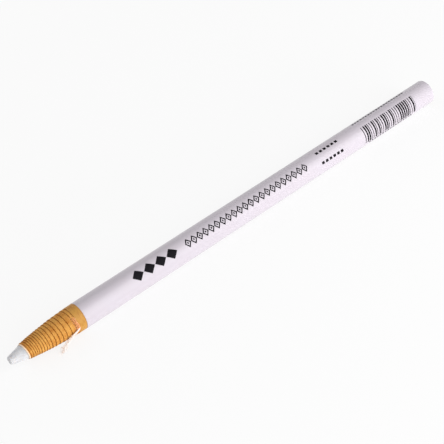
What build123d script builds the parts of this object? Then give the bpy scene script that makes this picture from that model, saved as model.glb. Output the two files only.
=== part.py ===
"""Peel-off china marker: a wax core in a wound kraft strip, with a wrapper, a cover and a pull string.

The marker lies along X with its point towards +X. The origin is under the middle of its length, on
the surface that it lies on, and +Z is up. Distances called "from the point" run back from the
blunt end of the core. Angles round the axis start at +Y and turn towards +Z.
"""

import os
from math import cos, pi, radians, sin, sqrt, tan

from build123d import *

# Whole marker
LENGTH = 171.0
BARREL_DIAMETER = 8.4

# Wax core and its bare cone
CORE_DIAMETER = 4.8
POINT_DIAMETER = 2.3
POINT_ROUNDING = 0.35
CONE_LENGTH = 5.0

# Ribbed nose: the front turns of the wound strip, from the point
NOSE_FRONT = 5.2
NOSE_REAR = 20.9
NOSE_FRONT_WALL = 0.17
NOSE_BULGE = 0.22
NOSE_TURNS = 16
FIRST_TURN_WIDTH = 0.53
GROOVE_DEPTH = 0.1
FRONT_SHOULDER = 0.22
REAR_SHOULDER = 0.8
END_LIP = 0.08
STRIP_END_ANGLE = -100.0
SECTIONS_PER_HALF = 12

# Layers round the winding, outermost first, and the open seam along the underside of the cover
COVER_FRONT = 23.8
COVER_THICKNESS = 0.15
SEAM_WIDTH = 1.3
OVERWRAP_THICKNESS = 0.12
GLUE_GAP = 0.02

# Fits of the pieces that move
BORE_CLEARANCE = 0.05
NOSE_END_CLEARANCE = 0.05

# Pull string and the notch that it leaves by
STRING_DIAMETER = 0.5
STRING_ANGLE = 8.0
CHANNEL_CLEARANCE = 0.03
STRING_REAR_COVER = 3.0
NOTCH_LENGTH = 1.6
NOTCH_WIDTH = 1.0
NOTCH_CORNER = 0.3
PIVOT_SETBACK = 0.3
PIVOT_LIFT = 0.3
STRING_EXIT_GAP = 0.1
RISE_BEND_RADIUS = 0.6

# Free end of the string beyond its pivot: distance from the point, Y and Z
TAIL_POINTS = [(17.8, 4.75, 4.0), (15.4, 4.65, 2.3), (13.4, 4.4, 0.32)]
TAIL_BEND_SHARE = 0.45

# Radii and places that follow from the sizes above: the marker lies on the two edges of its seam
AXIS_Z = sqrt(BARREL_DIAMETER**2 - SEAM_WIDTH**2) / 2
POINT_X = LENGTH / 2
REAR_X = -LENGTH / 2
CORE_RADIUS = CORE_DIAMETER / 2
STRING_RADIUS = STRING_DIAMETER / 2
COVER_RADIUS = BARREL_DIAMETER / 2
COVER_BORE = COVER_RADIUS - COVER_THICKNESS
OVERWRAP_RADIUS = COVER_BORE - GLUE_GAP
OVERWRAP_BORE = OVERWRAP_RADIUS - OVERWRAP_THICKNESS
WINDING_RADIUS = OVERWRAP_BORE - GLUE_GAP
WINDING_BORE = CORE_RADIUS + GLUE_GAP
NOSE_BORE = CORE_RADIUS + BORE_CLEARANCE
NOSE_FRONT_RADIUS = NOSE_BORE + NOSE_FRONT_WALL
NOSE_REAR_RADIUS = OVERWRAP_RADIUS - GLUE_GAP
NOSE_LENGTH = NOSE_REAR - NOSE_FRONT
WRAP_FRONT = NOSE_REAR + NOSE_END_CLEARANCE
STRING_AXIS_RADIUS = WINDING_RADIUS - STRING_RADIUS - GLUE_GAP
PIVOT_RADIUS = COVER_RADIUS + PIVOT_LIFT
PIVOT_FROM_POINT = WRAP_FRONT + PIVOT_SETBACK

# The strip's turns get wider towards the rear by the same step each time
TURN_SPAN = NOSE_LENGTH - 2 * END_LIP
TURN_STEP = 2 * (TURN_SPAN - NOSE_TURNS * FIRST_TURN_WIDTH) / (NOSE_TURNS * (NOSE_TURNS - 1))

REAR_PLANE = Plane(origin=(REAR_X, 0, AXIS_Z), x_dir=(0, 1, 0), z_dir=(1, 0, 0))
AXIS = Axis(origin=(REAR_X, 0, AXIS_Z), direction=(1, 0, 0))


def half_plane(angle):
    """The plane through the axis at this angle: X runs back from the point, Y is the radius."""
    turn = radians(angle)
    return Plane(origin=(POINT_X, 0, AXIS_Z), x_dir=(-1, 0, 0), z_dir=(0, sin(turn), -cos(turn)))


def place(from_point, radius, angle):
    """The point at this distance behind the point, this radius and this angle round the axis."""
    turn = radians(angle)
    return Vector(POINT_X - from_point, radius * cos(turn), AXIS_Z + radius * sin(turn))


def groove(turns):
    """Distance from the point of the groove between turns, after this many turns of the strip."""
    return NOSE_FRONT + END_LIP + FIRST_TURN_WIDTH * turns + TURN_STEP * turns * (turns - 1) / 2


def crest(from_point):
    """Radius over the ribs: a straight taper with a parabola's bulge on it."""
    share = (from_point - NOSE_FRONT) / NOSE_LENGTH
    taper = NOSE_FRONT_RADIUS + (NOSE_REAR_RADIUS - NOSE_FRONT_RADIUS) * share
    return taper + 4 * NOSE_BULGE * share * (1 - share)


def nose_outline(turned):
    """Half section of the nose where the helix has made this share of a turn, as (back, radius)."""
    grooves = [groove(turn + turned) for turn in range(NOSE_TURNS)]
    first_shoulder = NOSE_FRONT + REAR_SHOULDER * (grooves[0] - NOSE_FRONT)
    outline = [
        (NOSE_FRONT, NOSE_BORE),
        (NOSE_FRONT, crest(NOSE_FRONT)),
        (first_shoulder, crest(first_shoulder)),
    ]
    for start, end in zip(grooves, grooves[1:] + [NOSE_REAR]):
        outline.append((start, crest(start) - GROOVE_DEPTH))
        for shoulder in (FRONT_SHOULDER, REAR_SHOULDER):
            back = start + shoulder * (end - start)
            outline.append((back, crest(back)))
    outline.append((NOSE_REAR, crest(NOSE_REAR)))
    outline.append((NOSE_REAR, NOSE_BORE))
    return outline


def tube(inner, outer, from_point):
    """A layer of the barrel, from the rear face to this distance from the point."""
    with BuildSketch(REAR_PLANE) as ring:
        Circle(outer)
        Circle(inner, mode=Mode.SUBTRACT)
    extrude(ring.sketch, amount=LENGTH - from_point)


def thread(points, radii):
    """A round thread along straight runs joined by arcs of these radii."""
    with BuildLine() as route:
        FilletPolyline(*points, radius=radii)
    path = route.wire()
    with BuildSketch(Plane(origin=path @ 0, z_dir=path % 0)) as section:
        Circle(STRING_RADIUS)
    sweep(section.sketch, path=path)
    return path.length


def bend_radii(points):
    """The largest arc at each corner that leaves a straight stretch on its shorter run."""
    radii = []
    for before, corner, after in zip(points, points[1:], points[2:]):
        runs = (corner - before, after - corner)
        turn = radians(runs[0].get_angle(runs[1]))
        radii.append(TAIL_BEND_SHARE * min(run.length for run in runs) / tan(turn / 2))
    return radii


# Wax core: a plain rod with a blunt cone
with BuildPart() as marking_core:
    with BuildSketch(half_plane(90)) as core_profile:
        with BuildLine():
            Polyline(
                (0, 0),
                (0, POINT_DIAMETER / 2),
                (CONE_LENGTH, CORE_RADIUS),
                (LENGTH, CORE_RADIUS),
                (LENGTH, 0),
                close=True,
            )
        make_face()
        point_edge = core_profile.vertices().sort_by_distance((0, POINT_DIAMETER / 2))[0]
        fillet(point_edge, POINT_ROUNDING)
    revolve(axis=AXIS)

# Ribbed nose: half sections turned round the axis, each a little further along the helix
with BuildPart() as peel_nose:
    for half in range(2):
        for section in range(SECTIONS_PER_HALF + 1):
            share = (half + section / SECTIONS_PER_HALF) / 2
            with BuildSketch(half_plane(STRIP_END_ANGLE - 360 * share)):
                with BuildLine():
                    Polyline(*nose_outline(share), close=True)
                make_face()
        loft(ruled=True)

# Rest of the wound strip, with the channel that the string presses into it
with BuildPart() as paper_winding:
    tube(WINDING_BORE, WINDING_RADIUS, WRAP_FRONT)
    channel_floor = STRING_AXIS_RADIUS - STRING_RADIUS - CHANNEL_CLEARANCE
    channel_depth = COVER_RADIUS - channel_floor
    with BuildSketch(half_plane(STRING_ANGLE)):
        with Locations(((LENGTH - STRING_REAR_COVER + WRAP_FRONT) / 2, channel_floor + channel_depth / 2)):
            Rectangle(LENGTH - STRING_REAR_COVER - WRAP_FRONT, channel_depth)
    extrude(amount=STRING_RADIUS + CHANNEL_CLEARANCE, both=True, mode=Mode.SUBTRACT)

# Smooth kraft wrapper, torn into a notch where the string comes out
with BuildPart() as kraft_overwrap:
    tube(OVERWRAP_BORE, OVERWRAP_RADIUS, WRAP_FRONT)
    notch_plane = Plane(
        origin=place(WRAP_FRONT, 0, STRING_ANGLE),
        x_dir=(1, 0, 0),
        z_dir=place(0, 1, STRING_ANGLE) - place(0, 0, STRING_ANGLE),
    )
    with BuildSketch(notch_plane):
        RectangleRounded(2 * NOTCH_LENGTH, NOTCH_WIDTH, NOTCH_CORNER)
    extrude(amount=BARREL_DIAMETER, mode=Mode.SUBTRACT)

# White paper cover: a sheet rolled round the wrapper, whose long edges don't quite meet
with BuildPart() as printed_cover:
    tube(COVER_BORE, COVER_RADIUS, COVER_FRONT)
    with BuildSketch(REAR_PLANE):
        with Locations((0, -COVER_RADIUS)):
            Rectangle(SEAM_WIDTH, COVER_RADIUS)
    extrude(amount=LENGTH - COVER_FRONT, mode=Mode.SUBTRACT)

# String under the wrapper: along the channel, then up through the notch to the pivot
pivot = place(PIVOT_FROM_POINT, PIVOT_RADIUS, STRING_ANGLE)
rise_start = place(WRAP_FRONT + NOTCH_LENGTH - STRING_RADIUS, STRING_AXIS_RADIUS, STRING_ANGLE)
rise_end = pivot + (rise_start - pivot).normalized() * (STRING_RADIUS + STRING_EXIT_GAP)
with BuildPart() as pull_string:
    run_points = [
        place(LENGTH - STRING_REAR_COVER - CHANNEL_CLEARANCE, STRING_AXIS_RADIUS, STRING_ANGLE),
        rise_start,
        rise_end,
    ]
    run_length = thread(run_points, RISE_BEND_RADIUS)

# Free end of the string, round at its pivot
with BuildPart() as string_tail:
    tail_points = [pivot] + [Vector(POINT_X - back, across, up) for back, across, up in TAIL_POINTS]
    tail_radii = bend_radii(tail_points)
    tail_length = thread(tail_points, tail_radii)
    with Locations(pivot):
        Sphere(STRING_RADIUS)

os.makedirs("parts", exist_ok=True)
pieces = {
    "marking_core": marking_core,
    "peel_nose": peel_nose,
    "paper_winding": paper_winding,
    "kraft_overwrap": kraft_overwrap,
    "printed_cover": printed_cover,
    "pull_string": pull_string,
    "string_tail": string_tail,
}
for name, piece in pieces.items():
    piece.part.label = name
    export_step(piece.part, f"parts/{name}.step")

run_volume = pi * STRING_RADIUS**2 * run_length
print("string pivot", [round(value, 3) for value in pivot])
print("string run volume over section times length", pull_string.part.volume / run_volume)
print("string tail length", round(tail_length, 2))
print("string tail bend radii", [round(radius, 2) for radius in tail_radii])
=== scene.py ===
"""Finished look of a peel-off china marker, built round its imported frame.

Sizes are in millimetres and become metres where a mesh is made. A place on the marker is given by
its distance back from the point, its radius and its angle round the axis, from +Y towards +Z.
"""

import logging
from dataclasses import dataclass
from enum import Enum
from functools import partial
from math import asin, degrees, pi, radians, tau

import bmesh
import bpy
import numpy as np
from bpy.types import Material, Node, NodeSocket, NodeTree, Object
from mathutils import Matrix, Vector


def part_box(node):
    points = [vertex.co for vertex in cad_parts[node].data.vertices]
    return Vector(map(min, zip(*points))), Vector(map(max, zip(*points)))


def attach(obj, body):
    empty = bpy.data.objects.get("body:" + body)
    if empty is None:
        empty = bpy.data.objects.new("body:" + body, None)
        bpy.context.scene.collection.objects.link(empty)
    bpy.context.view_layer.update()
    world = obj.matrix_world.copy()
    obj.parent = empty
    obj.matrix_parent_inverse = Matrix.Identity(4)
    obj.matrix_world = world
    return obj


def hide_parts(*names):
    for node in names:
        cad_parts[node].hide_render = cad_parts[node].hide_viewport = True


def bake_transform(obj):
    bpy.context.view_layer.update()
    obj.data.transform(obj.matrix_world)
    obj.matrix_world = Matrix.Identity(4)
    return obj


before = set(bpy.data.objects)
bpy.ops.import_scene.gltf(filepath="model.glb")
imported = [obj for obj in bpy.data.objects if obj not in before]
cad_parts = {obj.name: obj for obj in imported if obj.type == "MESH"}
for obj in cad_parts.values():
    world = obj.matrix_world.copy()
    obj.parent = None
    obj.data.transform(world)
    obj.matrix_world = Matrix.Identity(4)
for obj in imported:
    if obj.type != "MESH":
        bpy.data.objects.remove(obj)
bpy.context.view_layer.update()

MM = 0.001
WELD_DISTANCE = 1e-4
SHARP_ANGLE = 42.0
WHITE = (1.0, 1.0, 1.0, 1.0)
LOG = logging.getLogger("china_marker")
Point = tuple[float, float, float]

# A direction that no thread or fibre runs along, which their cross axes are worked out from.
OFF_PATH = np.array([0.31, 0.87, 0.38])

# Numbers of the two colour inputs of a mix, whose names repeat.
MIX_FROM = 6
MIX_TO = 7

# Second chart value of kraft paper: its distance from the edge of a layer, OPEN_PAPER where no edge is
# near, and CUT_PAPER on a clean cut, which gives way to open paper round CUT_BORDER. Near an edge the
# paper is painted darker, as painted shade in the gap between layers.
OPEN_PAPER = 0.5
CUT_BORDER = 1.5
CUT_PAPER = 2.5

# Layers of the wound strip on an end face, thicker than real so that they show: thickness of a layer,
# rounding of its edges as a share of that, depth of a gap, the chart value of a layer, how fast that
# falls with depth so that the paper paints shade down in the gap, and the share of the face from the
# bore out over which the gaps deepen.
LAYER = 0.19
LAYER_ROUND = 0.1
LAYER_DEPTH = 0.05
LAYER_CHART = 0.3
LAYER_SHADE_FALL = 2.6
LAYER_FADE = 0.03


class Body(Enum):
    """Bodies of the frame that a piece can ride on."""

    BARREL = "barrel"
    NOSE = "nose"
    STRING = "string"


class Slot(Enum):
    """Material slots of the record."""

    WAX = "white_wax"
    KRAFT = "kraft_paper"
    COVER = "white_paper"
    THREAD = "white_thread"


def linear(hex_colour: str) -> tuple[float, float, float, float]:
    """Turn an sRGB hex colour into linear light.

    Args:
        hex_colour: Colour such as "#D79A4C".

    Returns:
        Linear red, green and blue, and an alpha of 1.
    """
    srgb = np.array([int(hex_colour[i:i + 2], 16) for i in (1, 3, 5)]) / 255
    light = np.where(srgb <= 0.04045, srgb / 12.92, ((srgb + 0.055) / 1.055) ** 2.4)
    return (*light.tolist(), 1.0)


def smooth_step(value: np.ndarray, low: float, high: float) -> np.ndarray:
    """Rise from 0 at low to 1 at high as 3t^2 - 2t^3."""
    share = np.clip((value - low) / (high - low), 0, 1)
    return share * share * (3 - 2 * share)


def bunched(count: int) -> np.ndarray:
    """Shares from 0 to 1, closer together at both ends: (1 - cos(pi t)) / 2."""
    return (1 - np.cos(pi * np.linspace(0, 1, count))) / 2


def run_length(paths: np.ndarray) -> np.ndarray:
    """Length of each path up to each of its points."""
    steps = np.linalg.norm(np.diff(paths, axis=-2), axis=-1)
    return np.concatenate([0 * steps[..., :1], np.cumsum(steps, axis=-1)], axis=-1)


def unit(vectors: np.ndarray) -> np.ndarray:
    """Vectors of the same directions, each of length 1."""
    return vectors / np.linalg.norm(vectors, axis=-1, keepdims=True)


def cross_axes(paths: np.ndarray) -> tuple[np.ndarray, np.ndarray]:
    """Work out two directions at each point of a path, square to it and to each other.

    Args:
        paths: Paths, the last two axes being points by 3.

    Returns:
        tangent x OFF_PATH and tangent x (tangent x OFF_PATH), each of length 1.
    """
    tangent = unit(np.gradient(paths, axis=-2))
    across = unit(np.cross(tangent, OFF_PATH))
    return across, np.cross(tangent, across)


def layer_gap(radius: np.ndarray, bore: float, angle: np.ndarray, rise: np.ndarray) -> np.ndarray:
    """How deep the spiral gap between the strip's layers is at points of a wound end face.

    A layer's number is (radius - bore) / LAYER - angle / 360, and the face sinks as
    exp(-distance / LAYER_ROUND) from the nearest whole number.

    Args:
        radius: Radius of each point.
        bore: Radius that the strip is wound from.
        angle: Angle of each point, in degrees.
        rise: Share of the way from the bore out.

    Returns:
        Depths in millimetres.
    """
    number = (radius - bore) / LAYER - angle / 360
    part = number - np.floor(number)
    sunk = np.exp(-part / LAYER_ROUND) + np.exp(-(1 - part) / LAYER_ROUND)
    return LAYER_DEPTH * sunk * smooth_step(rise, 0, LAYER_FADE)


@dataclass(frozen=True)
class Layout:
    """Places and sizes that the pieces share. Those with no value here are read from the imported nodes."""

    point: float  # X of the blunt end of the core
    axis: float  # Z of the marker's axis
    length: float  # Whole length of the marker
    core_radius: float  # Radius of the wax core
    nose_front: float  # Front of the ribbed nose, back from the point
    nose_rear: float  # Rear of the ribbed nose
    wrap_front: float  # Front of the kraft wrapper and of the winding under it
    wrap_radius: float  # Outer radius of the wrapper under the cover
    winding_radius: float  # Outer radius of the winding
    cover_front: float  # Front edge of the white cover
    cover_radius: float  # Outer radius of the cover
    cone_length: float = 5.0  # Length of the core's cone
    glue_gap: float = 0.02  # Room between one layer of the barrel and the next
    string_angle: float = 8.0  # Angle where the string runs and comes out
    string_end: float = 168.0  # Where the string ends under the wrapper, back from the point

    @classmethod
    def from_frame(cls) -> "Layout":
        """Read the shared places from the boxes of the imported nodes.

        Returns:
            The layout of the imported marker.
        """
        names = ("marking_core", "peel_nose", "paper_winding", "kraft_overwrap", "printed_cover")
        core, nose, winding, wrap, cover = (np.array(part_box(name)) / MM for name in names)
        point = core[1, 0]
        cover_radius = (cover[1, 1] - cover[0, 1]) / 2
        return cls(
            point=point,
            axis=cover[1, 2] - cover_radius,
            length=point - core[0, 0],
            core_radius=(core[1, 1] - core[0, 1]) / 2,
            nose_front=point - nose[1, 0],
            nose_rear=point - nose[0, 0],
            wrap_front=point - wrap[1, 0],
            wrap_radius=(wrap[1, 1] - wrap[0, 1]) / 2,
            winding_radius=(winding[1, 1] - winding[0, 1]) / 2,
            cover_front=point - cover[1, 0],
            cover_radius=cover_radius,
        )

    def place(self, back: np.ndarray, radius: np.ndarray, angle: np.ndarray) -> np.ndarray:
        """Turn places on the marker into points of the frame.

        Args:
            back: Distances back from the point.
            radius: Distances from the axis.
            angle: Angles round the axis in degrees, from +Y towards +Z.

        Returns:
            Points (x, y, z) = (point - back, radius cos angle, axis + radius sin angle).
        """
        turn = np.radians(angle)
        points = (self.point - back, radius * np.cos(turn), self.axis + radius * np.sin(turn))
        return np.stack(np.broadcast_arrays(*points), axis=-1)


@dataclass(frozen=True)
class Dressing:
    """What a piece is called, wears and moves with."""

    name: str  # Name of the piece
    material: Material  # Its material
    slot: Slot  # The record's slot that its finish belongs to
    body: Body | None  # The body that it rides on, or None for no body
    replaces: tuple[str, ...] = ()  # CAD nodes that it stands for


def add_piece(dressing: Dressing, points: np.ndarray, chart: np.ndarray) -> Object:
    """Make a piece from one grid of points or more, closing each where its own points meet.

    Points that coincide are welded, so a grid whose last row or column repeats its first closes,
    and a row drawn in to one point becomes a pole. Holes that are left get a flat face.

    Args:
        dressing: Name, material, slot, body and replaced nodes.
        points: Rows by columns by 3, in millimetres, with the number of grids first where there are more.
        chart: Texture coordinates, laid out alike by 2, in millimetres.

    Returns:
        The finished object, riding on its body.
    """
    rows, columns = points.shape[-3:-1]
    index = np.arange(points.size // 3).reshape(-1, rows, columns)
    corners = (index[:, :-1, :-1], index[:, :-1, 1:], index[:, 1:, 1:], index[:, 1:, :-1])
    quads = np.stack(corners, axis=-1).reshape(-1, 4)
    mesh = bpy.data.meshes.new(dressing.name)
    mesh.from_pydata((points * MM).reshape(-1, 3), [], quads.tolist())
    layer = mesh.uv_layers.new(name="chart")
    layer.data.foreach_set("uv", chart.reshape(-1, 2)[quads.ravel()].astype(np.float32).ravel())

    work = bmesh.new()
    work.from_mesh(mesh)
    bmesh.ops.remove_doubles(work, verts=work.verts, dist=WELD_DISTANCE * MM)
    bmesh.ops.holes_fill(work, edges=[edge for edge in work.edges if edge.is_boundary], sides=0)
    bmesh.ops.recalc_face_normals(work, faces=work.faces)
    work.to_mesh(mesh)
    work.free()
    mesh.shade_smooth()
    mesh.set_sharp_from_angle(angle=radians(SHARP_ANGLE))
    mesh.materials.append(dressing.material)

    piece = bpy.data.objects.new(dressing.name, mesh)
    bpy.context.scene.collection.objects.link(piece)
    if dressing.replaces:
        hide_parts(*dressing.replaces)
    if dressing.body:
        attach(piece, dressing.body.value)
    return piece


def tubes(paths: np.ndarray, radii: np.ndarray, sides: int) -> tuple[np.ndarray, np.ndarray]:
    """Carry a circle along each path and close it to a pole at both ends.

    A ring is centre + radius (cos t u + sin t w), with u and w square to the path.

    Args:
        paths: Centre lines, paths by steps by 3.
        radii: Radius at each step, paths by steps.
        sides: Sides of the circle.

    Returns:
        Grids of points, and their charts of length along the path and distance round it.
    """
    centre, across, beside = (
        np.concatenate([grid[:, :1], grid, grid[:, -1:]], axis=1)[:, :, None]
        for grid in (paths, *cross_axes(paths))
    )
    radius = np.pad(radii, ((0, 0), (1, 1)))[:, :, None]
    turn = np.linspace(0, tau, sides + 1)
    ring = across * np.cos(turn)[:, None] + beside * np.sin(turn)[:, None]
    length = run_length(centre[:, :, 0])[:, :, None]
    chart = np.stack(np.broadcast_arrays(length, radius * turn), axis=-1)
    return centre + radius[..., None] * ring, chart


def add_node(tree: NodeTree, kind: str, values: dict[str | int, object] | None = None) -> Node:
    """Add a node with its settings and links.

    Args:
        tree: Node tree that the node joins.
        kind: Class name of the node, after "ShaderNode".
        values: Values by the name of a property, or by the name or number of an input. A socket is
            linked to that input, and so is a node, by the first of its outputs that is in use.

    Returns:
        The new node.
    """
    node = tree.nodes.new("ShaderNode" + kind)
    for key, value in (values or {}).items():
        if isinstance(value, Node):
            value = next(socket for socket in value.outputs if socket.enabled)
        if isinstance(value, NodeSocket):
            tree.links.new(value, node.inputs[key])
        elif isinstance(key, str) and key in node.bl_rna.properties:
            setattr(node, key, value)
        else:
            node.inputs[key].default_value = value
    return node


def new_material(name: str) -> tuple[Material, NodeTree]:
    """Make a material with no nodes yet.

    Args:
        name: Name of the material.

    Returns:
        The material and its node tree.
    """
    material = bpy.data.materials.new(name)
    material.use_nodes = True
    material.node_tree.nodes.clear()
    return material, material.node_tree


@dataclass(frozen=True)
class CastWax:
    """White pigmented wax, cast as a rod: dense and cool, a little translucent, with a soft sheen."""

    pale: str = "#D8D8DA"  # Colour of clean wax
    dull: str = "#C1C1C5"  # Colour where handling has greyed it
    mottle: float = 1.2  # Width of the soft cloudy patches
    scuff: float = 0.22  # Spacing of the fine scuffs that run round the cone
    scuff_depth: float = 0.04  # Depth of the scuffs
    glow: float = 1.4  # How far light spreads inside the wax

    def material(self) -> Material:
        """Build the wax: clouds and scuffs grey it, and the scuffs roughen it.

        Returns:
            The material.
        """
        material, tree = new_material("cast_white_wax")
        add = partial(add_node, tree)
        place = add("TexCoord").outputs["Object"]
        cloud_scale = 1 / (self.mottle * MM)
        clouds = add("TexNoise", {"Vector": place, "Scale": cloud_scale, "Detail": 4.0, "Roughness": 0.6})
        patches = add("MapRange", {"Value": clouds, "From Min": 0.44, "From Max": 0.68, "To Max": 0.6})
        squeeze = add("Mapping", {"Vector": place, "Scale": (1.0, 0.15, 0.15)})
        scuffs = add("TexNoise", {"Vector": squeeze, "Scale": 1 / (self.scuff * MM), "Detail": 3.0})
        streaks = add("MapRange", {"Value": scuffs, "From Min": 0.5, "From Max": 0.72, "To Max": 0.45})
        soiled = add("Math", {"operation": "ADD", "use_clamp": True, 0: patches, 1: streaks})
        shades = {MIX_FROM: linear(self.pale), MIX_TO: linear(self.dull)}
        colour = add("Mix", {"data_type": "RGBA", "Factor": soiled, **shades})
        rough = {"From Min": 0.3, "From Max": 0.7, "To Min": 0.46, "To Max": 0.62}
        gloss = add("MapRange", {"Value": scuffs, **rough})
        relief = add("Bump", {"Height": scuffs, "Strength": 0.6, "Distance": self.scuff_depth * MM})
        shader = add(
            "BsdfPrincipled",
            {
                "Base Color": colour,
                "Roughness": gloss,
                "Normal": relief,
                "IOR": 1.44,
                "Specular IOR Level": 0.19,
                "Subsurface Weight": 1.0,
                "Subsurface Radius": (1.0, 0.95, 0.9),
                "Subsurface Scale": self.glow * MM,
            },
        )
        add("OutputMaterial", {"Surface": shader})
        return material


@dataclass(frozen=True)
class KraftPaper:
    """Unbleached kraft paper: warm brown with fibres along the strip, and painted shade in the gaps between
    turns.
    """

    name: str  # Name of the material, for how the paper was made up
    crest: str = "#D49C4F"  # Colour of the open paper
    fleck: str = "#AD6219"  # Colour of the darker fibres
    gap_shade_colour: str = "#854B1B"  # Colour of the painted shade down in the gaps between layers
    cut: str = "#FCE2C8"  # Colour of a clean cut edge
    gap_shade_reach: float = 0.1  # How far from a layer's edge the painted shade of the gap reaches
    gap_shade_strength: float = 0.52  # Share of the painted shade's colour at the bottom of a gap
    fibre: float = 0.1  # Width of a fibre streak, drawn coarser than real fibres so that it shows
    fibre_stretch: float = 14.0  # How many times longer than wide a streak is
    fibre_depth: float = 0.03  # Depth of the streaks
    blotch: float = 2.4  # Width of the larger darker and lighter patches
    roughness: float = 0.72  # Roughness of the open paper
    sheen: float = 0.175  # Share of the usual reflection that its open surface keeps

    def material(self) -> Material:
        """Build the paper. The chart's first value runs along the strip and its second from the edge.

        Returns:
            The material.
        """
        material, tree = new_material(self.name)
        add = partial(add_node, tree)
        crest, fleck, gap_shade_colour, cut = (linear(shade) for shade in (self.crest, self.fleck, self.gap_shade_colour, self.cut))
        chart = add("UVMap", {"uv_map": "chart"})
        from_edge = add("SeparateXYZ", {0: chart}).outputs[1]
        stretch = add("Mapping", {"Vector": chart, "Scale": (1 / self.fibre_stretch, 1.0, 1.0)})
        grain = {"Scale": 1 / self.fibre, "Detail": 5.0, "Roughness": 0.65}
        fibres = add("TexNoise", {"Vector": stretch, **grain})
        place = add("TexCoord").outputs["Object"]
        blotches = add("TexNoise", {"Vector": place, "Scale": 1 / (self.blotch * MM), "Detail": 3.0})
        uneven = add("Math", {"operation": "MULTIPLY_ADD", 0: blotches, 1: 0.6, 2: fibres})
        streaks = add("MapRange", {"Value": uneven, "From Min": 0.72, "From Max": 1.0, "To Max": 0.85})
        paper = add("Mix", {"data_type": "RGBA", "Factor": streaks, MIX_FROM: crest, MIX_TO: fleck})
        # Painted shade: the paper turns towards the gap's colour where the chart says a layer's edge is
        # near.
        shade = {"From Max": self.gap_shade_reach, "To Min": self.gap_shade_strength, "To Max": 0.0}
        gap = add("MapRange", {"interpolation_type": "SMOOTHSTEP", "Value": from_edge, **shade})
        gap_shaded = add("Mix", {"data_type": "RGBA", "Factor": gap, MIX_FROM: paper, MIX_TO: gap_shade_colour})
        # Fibres add 0.4 to the chart on average, and what they stray from that frays the cut's border.
        frayed = add("Math", {"operation": "MULTIPLY_ADD", 0: fibres, 1: 0.8, 2: from_edge})
        border = {"From Min": CUT_BORDER + 0.2, "From Max": CUT_BORDER + 0.6}
        is_cut = add("MapRange", {"Value": frayed, **border})
        pulp = add("MapRange", {"Value": fibres, "From Min": 0.45, "From Max": 0.75, "To Max": 0.5})
        bare = add("Mix", {"data_type": "RGBA", "Factor": pulp, MIX_FROM: cut, MIX_TO: crest})
        colour = add("Mix", {"data_type": "RGBA", "Factor": is_cut, MIX_FROM: gap_shaded, MIX_TO: bare})
        relief = add("Bump", {"Height": fibres, "Strength": 0.35, "Distance": self.fibre_depth * MM})
        finish = {"Roughness": self.roughness, "Specular IOR Level": self.sheen}
        shader = add("BsdfPrincipled", {"Base Color": colour, "Normal": relief, **finish})
        add("OutputMaterial", {"Surface": shader})
        return material


@dataclass(frozen=True)
class LooseFibre:
    """Spun or torn fibre: matt and soft, with warmer streaks that a noise lays along it."""

    name: str  # Name of the material, for what the fibre is
    pale: str = "#FFF8F4"  # Colour of the paler fibre
    warm: str = "#FFF1E8"  # Colour deep between fibres
    fibre: float = 0.05  # Width of a fibre streak along the thread
    fibre_stretch: float = 0.12  # How wide a streak is as a share of its length
    fibre_depth: float = 0.02  # Colour of the warmer streaks

    def material(self) -> Material:
        """Build the fibre. The chart's first value runs along it.

        Returns:
            The material.
        """
        material, tree = new_material(self.name)
        add = partial(add_node, tree)
        chart = add("UVMap", {"uv_map": "chart"})
        stretch = add("Mapping", {"Vector": chart, "Scale": (self.fibre_stretch, 1.0, 1.0)})
        fibres = add("TexNoise", {"Vector": stretch, "Scale": 1 / self.fibre, "Detail": 3.0})
        warm_streaks = add("MapRange", {"Value": fibres, "From Min": 0.4, "From Max": 0.7})
        shades = {MIX_FROM: linear(self.pale), MIX_TO: linear(self.warm)}
        colour = add("Mix", {"data_type": "RGBA", "Factor": warm_streaks, **shades})
        relief = add("Bump", {"Height": fibres, "Strength": 0.4, "Distance": self.fibre_depth * MM})
        finish = {"Roughness": 0.85, "Sheen Weight": 0.4, "Sheen Roughness": 0.4}
        shader = add("BsdfPrincipled", {"Base Color": colour, "Normal": relief, **finish})
        add("OutputMaterial", {"Surface": shader})
        return material


class Motif(Enum):
    """Shapes that the cover's printed rows are made of."""

    LOZENGES = "lozenges"
    LATTICE = "lattice"
    DASHES = "dashes"
    BARS = "bars"


@dataclass(frozen=True)
class PrintedRow:
    """One row of plain ornament printed along the cover."""

    motif: Motif  # Shape that the row is made of
    start: float  # Where the row starts, back from the point
    end: float  # Where it ends
    middle: float  # Distance of its middle line round the barrel from the chart's zero
    height: float  # Height of the row round the barrel
    pitch: float  # Length of one repeat, or of one step of the bars
    # Rough width of the lattice's lines, length of a dash, or share of the bars that stay narrow.
    stroke: float = 0.0


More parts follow.
